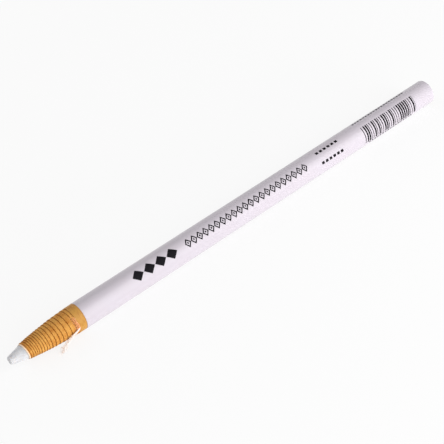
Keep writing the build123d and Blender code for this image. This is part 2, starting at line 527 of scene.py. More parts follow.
@dataclass(frozen=True)
class CoatedLabel:
    """White label paper with a clear gloss coat: bright, faintly lavender, with crisp black ink.

    Its white is written as a pale grey, because the lamps show it as white and clip a paler one.
    """

    white: str = "#C7C1CA"  # Colour of the paper
    tint: str = "#C6BDC5"  # Colour of its slightly warmer cloudy patches
    ink: str = "#100E13"  # Colour of the print
    cloud: float = 7.0  # Width of the patches
    tooth: float = 0.35  # Grain of the paper under the coat, drawn coarser than real so that it shows
    tooth_depth: float = 0.02  # Depth of the grain
    coat: float = 0.625  # Share of the paper that the clear coat covers, which the ink has none of
    sheen: float = 0.35  # Share of the usual reflection that bare paper keeps
    ink_sheen: float = 0.075  # Share of it that the ink keeps
    lozenge_fill: float = 0.96  # Share of its repeat that a whole lozenge takes up
    line_half: float = 0.62  # Half the width of a lattice line, as a share of the stroke
    dot_half: float = 0.8  # Half the width of the dot in it, as a share of the stroke
    # Printed rows.
    rows: tuple[PrintedRow, ...] = (
        PrintedRow(Motif.LOZENGES, 42.0, 59.0, 0.0, 3.9, 4.25),
        PrintedRow(Motif.LATTICE, 62.0, 112.6, 0.0, 3.1, 2.3, 0.52),
        PrintedRow(Motif.DASHES, 118.0, 128.2, 1.8, 0.9, 1.7, 1.1),
        PrintedRow(Motif.DASHES, 118.0, 128.2, -2.0, 0.9, 1.7, 1.1),
        PrintedRow(Motif.BARS, 137.5, 162.0, -2.0, 6.0, 0.31, 0.5),
        PrintedRow(Motif.DASHES, 137.0, 162.0, 4.2, 0.8, 1.25, 0.8),
        PrintedRow(Motif.DASHES, 139.5, 160.0, -5.6, 0.7, 1.25, 0.7),
    )

    def rhombs(self, tree: NodeTree, row: PrintedRow, phase: Node, off_middle: Node) -> Node:
        """Draw a row of lozenges, whole or in outline.

        A lozenge is |x| height / pitch + |y| < height / 2, with x and y from its middle.

        Args:
            tree: Node tree of the material.
            row: The row to draw.
            phase: Distance from the start of the repeat.
            off_middle: Distance from the row's middle line.

        Returns:
            Node that is 1 inside a lozenge, or on the outline of one and on the dot in it.
        """
        add = partial(add_node, tree)
        half = row.height / 2
        centred = add("Math", {"operation": "SUBTRACT", 0: phase, 1: row.pitch / 2})
        along = add("Math", {"operation": "ABSOLUTE", 0: centred})
        up = add("Math", {"operation": "ABSOLUTE", 0: off_middle})
        reach = add("Math", {"operation": "MULTIPLY_ADD", 0: along, 1: row.height / row.pitch, 2: up})
        if row.motif is Motif.LOZENGES:
            return add("Math", {"operation": "LESS_THAN", 0: reach, 1: half * self.lozenge_fill})
        line = row.stroke * self.line_half
        outline = add("Math", {"operation": "COMPARE", 0: reach, 1: half - line, 2: line})
        dot = add("Math", {"operation": "LESS_THAN", 0: reach, 1: row.stroke * self.dot_half})
        return add("Math", {"operation": "MAXIMUM", 0: outline, 1: dot})

    def bars(self, tree: NodeTree, row: PrintedRow, along: NodeSocket) -> Node:
        """Draw bars of uneven width: each third step starts one, and a noise makes some two steps wide.

        Args:
            tree: Node tree of the material.
            row: The row to draw.
            along: Distance back from the point.

        Returns:
            Node that is 1 along a bar.
        """
        add = partial(add_node, tree)
        steps = add("Math", {"operation": "DIVIDE", 0: along, 1: row.pitch})
        step = add("Math", {"operation": "FLOOR", 0: steps})
        noise = add("TexWhiteNoise", {"noise_dimensions": "1D", "W": step})
        third = add("Math", {"operation": "MODULO", 0: step, 1: 3.0})
        first = add("Math", {"operation": "LESS_THAN", 0: third, 1: 0.5})
        early = add("Math", {"operation": "LESS_THAN", 0: third, 1: 1.5})
        chosen = add("Math", {"operation": "GREATER_THAN", 0: noise, 1: row.stroke})
        wide = add("Math", {"operation": "MULTIPLY", 0: early, 1: chosen})
        return add("Math", {"operation": "MAXIMUM", 0: first, 1: wide})

    def row_mask(self, tree: NodeTree, row: PrintedRow, along: NodeSocket, across: NodeSocket) -> Node:
        """Draw one printed row.

        Args:
            tree: Node tree of the material.
            row: The row to draw.
            along: Distance back from the point.
            across: Distance round the barrel.

        Returns:
            Node that is 1 where there is ink and 0 elsewhere.
        """
        add = partial(add_node, tree)
        half = (row.end - row.start) / 2
        in_length = add("Math", {"operation": "COMPARE", 0: along, 1: row.start + half, 2: half})
        in_height = add("Math", {"operation": "COMPARE", 0: across, 1: row.middle, 2: row.height / 2})
        off_start = add("Math", {"operation": "SUBTRACT", 0: along, 1: row.start})
        off_middle = add("Math", {"operation": "SUBTRACT", 0: across, 1: row.middle})
        phase = add("Math", {"operation": "MODULO", 0: off_start, 1: row.pitch})
        if row.motif is Motif.BARS:
            drawn = self.bars(tree, row, along)
        elif row.motif is Motif.DASHES:
            drawn = add("Math", {"operation": "LESS_THAN", 0: phase, 1: row.stroke})
        else:
            drawn = self.rhombs(tree, row, phase, off_middle)
        in_box = add("Math", {"operation": "MULTIPLY", 0: in_length, 1: in_height})
        return add("Math", {"operation": "MULTIPLY", 0: drawn, 1: in_box})

    def material(self) -> Material:
        """Build the label. The chart runs back from the point and round the barrel.

        Returns:
            The material.
        """
        material, tree = new_material("gloss_coated_label_paper")
        add = partial(add_node, tree)
        chart = add("UVMap", {"uv_map": "chart"})
        along, across = add("SeparateXYZ", {0: chart}).outputs[:2]
        clouds = add("TexNoise", {"Vector": chart, "Scale": 1 / self.cloud, "Detail": 3.0})
        shades = {MIX_FROM: linear(self.white), MIX_TO: linear(self.tint)}
        paper = add("Mix", {"data_type": "RGBA", "Factor": clouds, **shades})
        ink = 0.0
        for row in self.rows:
            mask = self.row_mask(tree, row, along, across)
            ink = add("Math", {"operation": "MAXIMUM", 0: mask, 1: ink})
        shades = {MIX_FROM: paper, MIX_TO: linear(self.ink)}
        colour = add("Mix", {"data_type": "RGBA", "Factor": ink, **shades})
        grain = add("TexNoise", {"Vector": chart, "Scale": 1 / self.tooth, "Detail": 4.0})
        relief = add("Bump", {"Height": grain, "Strength": 0.08, "Distance": self.tooth_depth * MM})
        coat = add("MapRange", {"Value": ink, "To Min": self.coat, "To Max": 0.0})
        sheen = add("MapRange", {"Value": ink, "To Min": self.sheen, "To Max": self.ink_sheen})
        shader = add(
            "BsdfPrincipled",
            {
                "Base Color": colour,
                "Normal": relief,
                "Coat Weight": coat,
                "Specular IOR Level": sheen,
                "Roughness": 0.5,
                "Coat Roughness": 0.16,
            },
        )
        add("OutputMaterial", {"Surface": shader})
        return material


@dataclass
class WaxCore:
    """The wax rod with its bare blunt cone."""

    layout: Layout
    point_radius: float = 0.95  # Radius of the flat at the point, out to where its edge starts to round
    rounding: float = 0.32  # Radius of the rounded edge of the point
    edge_turn: float = 62.0  # How far that edge turns before the cone, in degrees
    rear_break: float = 0.1  # Length of the broken edge at the rear
    worn_length: float = 2.0  # Length of the cone that is worn all over, after which the wear dies away
    wear: float = 0.04  # Depth of the uneven wear on the cone
    dent: float = 0.012  # How far the wear strays along the cone
    # Share of the radius that the deepest nicks take from the rounded edge of the point.
    nick: float = 0.06
    nick_reach: float = 0.3  # How far back from the point the nicks reach
    # Rows of points along the flat, the rounded edge, the cone, the rod and the rear face.
    rows: tuple[int, ...] = (6, 9, 56, 60, 8)
    columns: int = 160  # Steps round the rod

    def outline(self) -> tuple[np.ndarray, np.ndarray]:
        """Trace the rod from pole to pole: flat, rounded edge, cone, rod, broken edge and rear face.

        Returns:
            Distances back from the point, and radii.
        """
        lay = self.layout
        radius, rear = lay.core_radius, self.rear_break
        flat_rows, edge_rows, cone_rows, rod_rows, face_rows = self.rows
        arc = np.linspace(0, radians(self.edge_turn), edge_rows)
        edge_back = self.rounding * (1 - np.cos(arc))
        edge_radius = self.point_radius + self.rounding * np.sin(arc)
        cone = np.linspace(0, 1, cone_rows)[1:]
        cone_back = edge_back[-1] + (lay.cone_length - edge_back[-1]) * cone
        cone_radius = edge_radius[-1] + (radius - edge_radius[-1]) * cone
        rod = np.linspace(lay.cone_length, lay.length - rear, rod_rows)[1:]
        flat = np.linspace(0, self.point_radius, flat_rows)
        face = np.linspace(1, 0, face_rows) * (radius - 0.6 * rear)
        end = np.array([lay.length - 0.3 * rear, *np.full(face.size, lay.length)])
        back = [0 * flat, edge_back[1:], cone_back, rod, end]
        out = [flat, edge_radius[1:], cone_radius, 0 * rod + radius, [radius - 0.2 * rear], face]
        return np.concatenate(back), np.concatenate(out)

    def build(self, material: Material) -> Object:
        """Revolve the outline, with uneven wear, pits and nicks towards the point.

        The wear and pits are sums of sines of the angle and the distance back. The nicks are the upper
        halves of such a sum round the point's edge, and die away as exp(-back / nick_reach).

        Args:
            material: The wax.

        Returns:
            The core.
        """
        lay = self.layout
        angle = np.linspace(0, 360, self.columns + 1)
        turn = np.radians(angle)
        back, out = (values[:, None] for values in self.outline())
        fade = 1 - smooth_step(back, self.worn_length, lay.cone_length)
        flats = np.cos(3 * turn + 0.7) + 0.6 * np.cos(5 * turn + 1.3 * back)
        pits = np.sin(9 * turn + 6.1 * back) * np.sin(5 * turn - 8.3 * back + 1.0)
        jagged = np.maximum(np.sin(5 * turn + 0.4) + 0.6 * np.sin(11 * turn + 2.0), 0)
        nicks = self.nick * jagged * np.exp(-back / self.nick_reach)
        worn = out * (1 + self.wear * fade * (flats + 0.35 * pits) / lay.core_radius - nicks)
        dents = self.dent * np.sin(2.1 * back + 2 * turn) * fade * (out > 0)
        points = lay.place(back + dents, worn, angle)
        chart = np.stack(np.broadcast_arrays(back, lay.core_radius * turn), axis=-1)
        dressing = Dressing("wax_core", material, Slot.WAX, Body.BARREL, ("marking_core",))
        return add_piece(dressing, points, chart)


@dataclass
class RibbedNose:
    """The front turns of the kraft strip, wound in a cone with each turn's edge showing."""

    layout: Layout
    front_radius: float = 2.63  # Radius over the ribs at the front
    rear_radius: float = 4.11  # Radius over the ribs at the rear
    bulge: float = 0.2  # How far the cone's outline stands out from a straight taper
    front_draw: float = 0.13  # How far the first turns draw in towards the core
    front_reach: float = 0.8  # How far back the front's drawing in dies away
    reach_out: float = 0.43  # How far the first turn reaches out over the core's cone
    reach_fade: float = 0.5  # How far back that reach dies away
    cone_slope: float = 0.24  # Slope of the cone that the first turn lies on
    lean: float = 0.15  # How far the front rim leans forwards on one side and back on the other
    lean_angle: float = 144.0  # Angle of the side that leans forwards
    lean_reach: float = 3.0  # How far back the lean dies away
    rim: float = 0.2  # Width of the pale cut edge at the front
    rim_fade: float = 0.15  # Width over which the cut edge gives way to the open paper
    turns: int = 16  # Turns of the strip
    first_width: float = 0.58  # Width of the first turn
    end_lip: float = 0.08  # Width of the plain lip at each end of the helix
    strip_end: float = -100.0  # Angle where the strip starts
    front_depth: float = 0.13  # Depth of the gap between turns at the front
    rear_depth: float = 0.21  # Depth of the gap between turns at the rear
    shingle: float = 1.7  # How far each turn tips its front edge out, as a multiple of its own taper
    edge_round: float = 0.05  # How fast a turn rises from the gap at its front edge
    rear_sink: float = 0.11  # How far ahead of the next turn it starts to sink
    wobble: float = 0.05  # How far a turn strays from its even place
    lift: float = 0.014  # How far a turn rides up and down along its length
    flutter: float = 0.01  # The same in shorter waves
    fray: float = 0.014  # How far fibres stray along a turn's cut edge
    bore_clearance: float = 0.05  # Room between the nose and the core
    least_wall: float = 0.04  # Least thickness of the wound paper
    columns: int = 280  # Steps in one turn
    turn_rows: int = 12  # Rows of points across one turn
    end_rows: int = 48  # Rows of points across the rear face
    bore_rows: int = 12  # Rows of points along the bore
    front_rows: int = 4  # Rows of points across the front face
    seed: int = 7

    def bore(self) -> float:
        """Radius of the hole that the core fills."""
        return self.layout.core_radius + self.bore_clearance

    def groove(self, turned: np.ndarray) -> np.ndarray:
        """Distance from the point of the gap after so many turns of the strip.

        The place is a steady first width per turn plus a cubic that takes up the rest of the nose, and the
        gap strays by a sum of two sines.

        Args:
            turned: Turns from the strip's start.

        Returns:
            Distances back from the point.
        """
        lay, count = self.layout, self.turns
        span = lay.nose_rear - lay.nose_front - 2 * self.end_lip
        rest = span - count * self.first_width
        even = lay.nose_front + self.end_lip + self.first_width * turned + rest * (turned / count) ** 3
        stray = np.sin(4.9 * turned + 0.6) + 0.7 * np.sin(11.3 * turned + 2.0)
        return even + self.wobble * np.sin(pi * turned / count) * stray

    def crest(self, back: np.ndarray) -> np.ndarray:
        """Radius over the ribs: a straight taper with a parabola's bulge, drawn in at the front.

        Args:
            back: Distances back from the point.

        Returns:
            taper + 4 bulge s (1 - s) - front_draw exp(-d / front_reach), d from the front and s of the way.
        """
        behind = back - self.layout.nose_front
        share = behind / (self.layout.nose_rear - self.layout.nose_front)
        taper = self.front_radius + (self.rear_radius - self.front_radius) * share
        drawn_in = self.front_draw * np.exp(-behind / self.front_reach)
        return taper + 4 * self.bulge * share * (1 - share) - drawn_in

    def ribs(self, share: np.ndarray) -> tuple[np.ndarray, np.ndarray, np.ndarray]:
        """Lay the turns' outer faces row by row along the helix, so that each gap is one clean line.

        At distance e from a turn's front edge and g from its rear edge, f of the way across, the surface
        is at crest + shingle taper (1/2 - f) - depth (0.4 exp(-e / edge_round) + exp(-g / rear_sink)),
        and the row in the gap itself is at crest - depth - shingle taper / 2. Two sines lift both.

        Args:
            share: Shares of one turn.

        Returns:
            Distances back, radii and charts, by rows by columns.
        """
        lay = self.layout
        turn = np.arange(-1, self.turns)[:, None, None]
        helix = turn + share
        front = np.where(turn < 0, lay.nose_front, self.groove(np.maximum(helix, 0)))
        rear = np.where(turn == self.turns - 1, lay.nose_rear, self.groove(np.maximum(helix + 1, 0)))
        across = bunched(self.turn_rows + 1)[None, :-1, None]
        ahead = across * (rear - front)
        behind = rear - front - ahead
        loose = np.random.default_rng(self.seed).normal(0, 1, (self.turns + 1) * self.columns + 1)
        strand = np.round((turn + 1 + share) * self.columns).astype(int)
        near_edge = np.exp(-ahead / (2 * self.edge_round)) * (across > 0) * (turn >= 0)
        back = front + ahead + self.fray * loose[strand] * near_edge

        along_nose = (back - lay.nose_front) / (lay.nose_rear - lay.nose_front)
        depth = self.front_depth + (self.rear_depth - self.front_depth) * along_nose
        tilt = self.shingle * (self.crest(rear) - self.crest(front)) * (0.5 - across)
        dip = depth * (0.4 * np.exp(-ahead / self.edge_round) + np.exp(-behind / self.rear_sink))
        lift = self.lift * np.sin(7.7 * helix + 1.1) + self.flutter * np.sin(17.9 * helix)
        radius = self.crest(back) + lift + np.where(across > 0, tilt - dip, -depth - tilt)
        radius = np.maximum(radius, self.bore() + self.least_wall)

        along = helix * tau * self.crest(front) * np.ones_like(ahead)
        cut = CUT_BORDER + (lay.nose_front + self.rim - back) / self.rim_fade
        # Near either edge of a turn the chart is small, so the paper paints the gap's shade there.
        edge = np.where(cut > OPEN_PAPER, np.minimum(cut, CUT_PAPER), np.minimum(ahead, behind))
        rows = (-1, share.size)
        chart = np.stack([along.reshape(rows), edge.reshape(rows)], axis=-1)
        return back.reshape(rows), radius.reshape(rows), chart

    def inside(self, share: np.ndarray, rim: np.ndarray) -> tuple[np.ndarray, np.ndarray, np.ndarray]:
        """Close the nose by its wound rear face, its bore and its cut front face.

        Args:
            share: Shares of one turn.
            rim: Radius of the front rim at each of them.

        Returns:
            Distances back, radii and charts, by rows by columns.
        """
        lay, bore, whole = self.layout, self.bore(), np.ones(share.size)
        rise = np.linspace(0, 1, self.end_rows)[::-1, None]
        face = bore + (self.crest(lay.nose_rear) - self.rear_depth - bore) * rise * whole
        gap = layer_gap(face, bore, self.strip_end - 360 * share, rise)
        hole = np.linspace(lay.nose_rear, lay.nose_front, self.bore_rows)[1:, None] * whole
        front = bore + (rim - bore) * np.linspace(0, 1, self.front_rows)[1:, None]
        back = np.concatenate([lay.nose_rear - gap, hole, np.full(front.shape, lay.nose_front)])
        radius = np.concatenate([face, np.full(hole.shape, bore), front])
        # The chart falls with the gap's depth, which paints shade down in the spiral gap.
        layers = LAYER_CHART - LAYER_SHADE_FALL * gap
        edge = np.concatenate([layers, np.full(hole.shape, OPEN_PAPER), np.full(front.shape, CUT_PAPER)])
        along = share * tau * np.concatenate([face, np.full((len(hole) + len(front), share.size), bore)])
        return back, radius, np.stack([along, edge], axis=-1)

    def build(self, material: Material) -> Object:
        """Join the ribs and the inside, then lean the front and draw its first turn out over the cone.

        The lean and the reach die away as exp(-d / lean_reach) and exp(-d / reach_fade), d from the front,
        and what lies over the cone sinks by cone_slope times its distance past the cone's end.

        Args:
            material: The wound kraft.

        Returns:
            The nose.
        """
        lay = self.layout
        share = np.linspace(0, 1, self.columns + 1)
        angle = self.strip_end - 360 * share
        ribs = self.ribs(share)
        inside = self.inside(share, ribs[1][:1])
        back, radius, chart = (np.concatenate(rows) for rows in zip(ribs, inside))
        near_front = np.exp(-(back - lay.nose_front) / self.lean_reach)
        back = back - self.lean * near_front * np.cos(np.radians(angle - self.lean_angle))
        back = back - self.reach_out * np.exp(-(back - lay.nose_front) / self.reach_fade)
        radius = radius - self.cone_slope * np.maximum(lay.cone_length - back, 0)
        dressing = Dressing("ribbed_nose", material, Slot.KRAFT, Body.NOSE, ("peel_nose",))
        return add_piece(dressing, lay.place(back, radius, angle), chart)


@dataclass
class WoundBarrel:
    """The rest of the strip, wound on the core in a spiral whose layers show at both ends."""

    layout: Layout
    channel_depth: float = 0.52  # Depth of the channel that the string lies in
    channel_half: float = 4.4  # Half the channel's width, in degrees
    channel_room: float = 0.05  # Room in the channel past the string's end
    channel_wall: float = 0.02  # Length of the slope that ends the channel
    rows: tuple[int, int] = (36, 4)  # Rows of points along the channel and past its end
    end_rows: int = 72  # Rows of points across each end face
    columns: int = 240  # Steps round the barrel

    def build(self, material: Material) -> Object:
        """Turn the winding's section, with a spiral gap sunk into both end faces.

        The channel for the string is channel_depth exp(-(angle from the string / channel_half)^4) deep,
        as far as its end.

        Args:
            material: The rolled kraft.

        Returns:
            The winding.
        """
        lay = self.layout
        angle = np.linspace(-180, 180, self.columns + 1)
        bore = lay.core_radius + lay.glue_gap
        channel = self.channel_depth * np.exp(-(((angle - lay.string_angle) / self.channel_half) ** 4))
        channel_end = lay.string_end + self.channel_room
        open_steps = np.linspace(lay.wrap_front, channel_end, self.rows[0])[1:]
        closed_steps = np.linspace(channel_end + self.channel_wall, lay.length, self.rows[1])[:-1]
        steps = np.concatenate([open_steps, closed_steps])[:, None]
        wall = lay.winding_radius - channel * (steps <= channel_end)
        rise = np.linspace(0, 1, self.end_rows)[:, None]
        front = bore + (wall[0] - bore) * rise
        rear = bore + (wall[-1] - bore) * rise[::-1]
        front_gap = layer_gap(front, bore, angle, rise)
        rear_gap = layer_gap(rear, bore, angle, rise[::-1])
        whole = np.ones((1, angle.size))
        back = np.concatenate(
            [lay.wrap_front + front_gap, steps * whole, lay.length - rear_gap, lay.wrap_front * whole]
        )
        radius = np.concatenate([front, wall, rear, front[:1]])
        gap = np.concatenate([front_gap, 0 * wall, rear_gap, 0 * whole])
        # The chart falls with the gap's depth, which paints shade down in the spiral gap.
        chart = np.stack([np.radians(angle) * radius, LAYER_CHART - LAYER_SHADE_FALL * gap], axis=-1)
        dressing = Dressing("wound_barrel", material, Slot.KRAFT, Body.BARREL, ("paper_winding",))
        return add_piece(dressing, lay.place(back, radius, angle), chart)


@dataclass
class KraftWrapper:
    """The smooth wrapper round the winding, torn open at its front where the string comes out."""

    layout: Layout
    band_radius: float = 4.135  # Outer radius of the band in front of the cover
    tuck: float = 0.1  # How far ahead of the cover's edge the band draws in to pass under it
    tuck_end: float = 0.1  # How far under the cover it is drawn in all the way
    overlap: float = 0.3  # How far under the cover the rows of the band run
    tear_length: float = 0.5  # How far back the tear runs at the string
    tear_half: float = 6.5  # Half the width of the tear at the string, in degrees
    rip_start: float = -48.0  # Angle where the shallow rip on both sides of the string starts
    rip_end: float = 38.0  # Angle where it ends
    rip_fade: float = 12.0  # Angle over which the rip deepens at either end
    rip_length: float = 0.26  # How far back it runs
    fine_past: float = 4.0  # How far past the rip the columns of points stay close
    ragged: float = 0.03  # How uneven the front edge is
    ragged_torn: float = 5.0  # How many times more uneven it is where torn
    lip: float = 0.05  # How far the front edge is worn down
    lip_reach: float = 0.06  # How far back that reaches
    lip_chart: float = 0.06  # Chart value at the front edge, low enough that the paper paints shade along it
    seam_chart: float = 0.02  # Chart value at the cover's edge, where the paper paints the shadow of the cover's edge on the band
    seam_shade: float = 0.35  # How fast the chart grows from there, and so how fast that painted shadow fades
    most_chart: float = 0.9  # Most that the chart grows to
    rows: tuple[int, int] = (15, 36)  # Rows of points along the band and under the cover
    columns: tuple[int, int] = (260, 100)  # Columns of points along the rip and round the rest
    seed: int = 3

    def torn(self, angle: np.ndarray) -> np.ndarray:
        """How much of the front edge is missing.

        Args:
            angle: Angles from the start of the rip round to a whole turn past it.

        Returns:
            tear_length exp(-(|angle from the string| / tear_half)^4), or the rip where that is more.
        """
        off = np.abs(angle - self.layout.string_angle)
        tear = self.tear_length * np.exp(-((np.minimum(off, 360 - off) / self.tear_half) ** 4))
        started = smooth_step(angle, self.rip_start, self.rip_start + self.rip_fade)
        ended = smooth_step(angle, self.rip_end - self.rip_fade, self.rip_end)
        return np.maximum(tear, self.rip_length * started * (1 - ended))

    def build(self, material: Material) -> Object:
        """Wrap a thin wall whose front edge follows the tear, with seeded steps most of all where torn.

        Args:
            material: The smooth kraft.

        Returns:
            The wrapper.
        """
        lay = self.layout
        fine = np.linspace(self.rip_start, self.rip_end + self.fine_past, self.columns[0])
        coarse = np.linspace(fine[-1], fine[0] + 360, self.columns[1])[1:]
        angle = np.concatenate([fine, coarse])
        torn = self.torn(angle)
        rough = np.random.default_rng(self.seed).uniform(0, 1, angle.size)
        rough[-1] = rough[0]
        uneven = 1 + self.ragged_torn * np.minimum(torn / self.rip_length, 1)
        front = lay.wrap_front + torn + self.ragged * rough * uneven
        band_end = lay.cover_front + self.overlap
        shown = front + (band_end - front) * bunched(self.rows[0])[:, None]
        hidden = np.linspace(band_end, lay.length, self.rows[1])[1:, None] * np.ones(angle.size)
        outer_back = np.concatenate([shown, hidden])
        drawn_in = smooth_step(outer_back, lay.cover_front - self.tuck, lay.cover_front + self.tuck_end)
        lip = self.lip * np.exp(-(outer_back - front) / self.lip_reach)
        outer = self.band_radius + (lay.wrap_radius - self.band_radius) * drawn_in - lip
        back = np.concatenate([outer_back, outer_back[::-1], outer_back[:1]])
        bore = np.full(outer.shape, lay.winding_radius + lay.glue_gap)
        radius = np.concatenate([outer, bore, outer[:1]])
        # A low chart here paints the shadow beside the cover's edge and shade along the torn front edge.
        seam = self.seam_shade * np.abs(back - lay.cover_front) + self.seam_chart
        edge = np.minimum(np.minimum(back - front + self.lip_chart, seam), self.most_chart)
        chart = np.stack([np.radians(angle) * radius, edge], axis=-1)
        dressing = Dressing("kraft_wrapper", material, Slot.KRAFT, Body.BARREL, ("kraft_overwrap",))
        return add_piece(dressing, lay.place(back, radius, angle), chart)


@dataclass
class TornFringe:
    """Torn fibres along the wrapper's rip beside the string."""

    wrapper: KraftWrapper  # The wrapper that they hang from
    count: int = 170  # How many there are
    ahead_of_string: float = 14.0  # How far past the string they start, in degrees
    past_rip: float = 18.0  # How far past the rip they end, in degrees
    root: float = 0.12  # How far behind the torn edge they start
    lengths: tuple[float, float] = (0.35, 1.8)  # Least and greatest length
    swerve: float = 14.0  # Spread of how far they swerve sideways, in degrees
    curl: float = 0.22  # Most that a tip curls off the surface
    loft: float = 0.07  # Most that a root stands off it
    radii: tuple[float, float] = (0.015, 0.034)  # Least and greatest radius at the root
    taper: float = 0.7  # Share of its radius that a fibre loses by the tip
    steps: int = 7  # Points along a fibre
    sides: int = 4  # Sides of a fibre
    seed: int = 3

    def build(self, material: Material) -> Object:
        """Draw each fibre forwards from the edge, curling off the surface as the square of its length.

        Args:
            material: The torn kraft fibre.

        Returns:
            The fibres as one piece.
        """
        lay = self.wrapper.layout
        draw = np.random.default_rng(self.seed)
        each = (self.count, 1)
        along = np.linspace(0, 1, self.steps)
        first, last = lay.string_angle - self.ahead_of_string, self.wrapper.rip_end + self.past_rip
        angle = draw.uniform(first, last, each)
        length = draw.uniform(*self.lengths, each)
        swerve = draw.normal(0, self.swerve, each)
        back = lay.wrap_front + self.wrapper.torn(angle) + self.root - length * along
        curl = draw.uniform(0, self.curl, each) * along**2
        radius = self.wrapper.band_radius + draw.uniform(0, self.loft, each) + curl
        lines = lay.place(back, radius, angle + swerve * along)
        radii = draw.uniform(*self.radii, each) * (1 - self.taper * along)
        dressing = Dressing("torn_fibres", material, Slot.KRAFT, Body.BARREL)
        return add_piece(dressing, *tubes(lines, radii, self.sides))


@dataclass
class PaperCover:
    """The white cover, a sheet rolled round the wrapper whose long edges stop short of each other."""

    layout: Layout
    thickness: float = 0.15  # Thickness of the sheet
    seam_width: float = 1.3  # Width of the open seam along the underside
    ripple: float = 0.008  # Depth of the soft unevenness of the rolled sheet
    # How far from the middle the ripple starts to fade and is gone.
    ripple_ends: tuple[float, float] = (60.0, 75.0)
    flat_seam: float = 14.0  # Angle from the seam's edges over which the sheet lies flat
    print_angle: float = 62.0  # Angle of the middle line of the print
    inner_chart: float = 1000.0  # How far the chart of the inner face is moved, past the end of the print
    rows: int = 150  # Rows of points along the barrel
    columns: int = 150  # Columns of points round it

    def build(self, material: Material) -> Object:
        """Roll the sheet: its outer face goes round one way and its inner face comes back.

        The ripple is a sum of two sines of the angle and the distance back.

        Args:
            material: The coated label.

        Returns:
            The cover.
        """
        lay = self.layout
        gap = degrees(asin(self.seam_width / 2 / lay.cover_radius))
        one_way = np.linspace(-90 + gap, 270 - gap, self.columns)
        angle = np.concatenate([one_way, one_way[::-1], one_way[:1]])
        side = np.concatenate([np.ones(one_way.size), -np.ones(one_way.size), [1]])
        turn = np.radians(angle)
        rounding = self.thickness / 4
        length = np.linspace(lay.cover_front + rounding, lay.length - rounding, self.rows)
        back = np.concatenate([[lay.cover_front], length, [lay.length]])[:, None]
        spread = np.ones_like(back)
        spread[[0, -1]] = 0
        soft = np.sin(0.31 * back + 2 * turn) + 0.6 * np.sin(0.83 * back - 3 * turn + 1.0)
        off_seam = 1 - np.exp(-(((np.abs(angle - 90) - 180) / self.flat_seam) ** 2))
        kept, gone = self.ripple_ends
        off_ends = smooth_step(np.abs(back - lay.length / 2), gone, kept)
        ripple = np.abs(self.ripple * soft * off_seam * off_ends)
        half = self.thickness / 2
        radius = lay.cover_radius - half + half * side * spread - ripple
        chart_back = back + np.where(side > 0, 0.0, self.inner_chart)
        chart_round = np.radians(angle - self.print_angle) * lay.cover_radius
        chart = np.stack(np.broadcast_arrays(chart_back, chart_round), axis=-1)
        dressing = Dressing("paper_cover", material, Slot.COVER, Body.BARREL, ("printed_cover",))
        return add_piece(dressing, lay.place(back, radius, angle), chart)


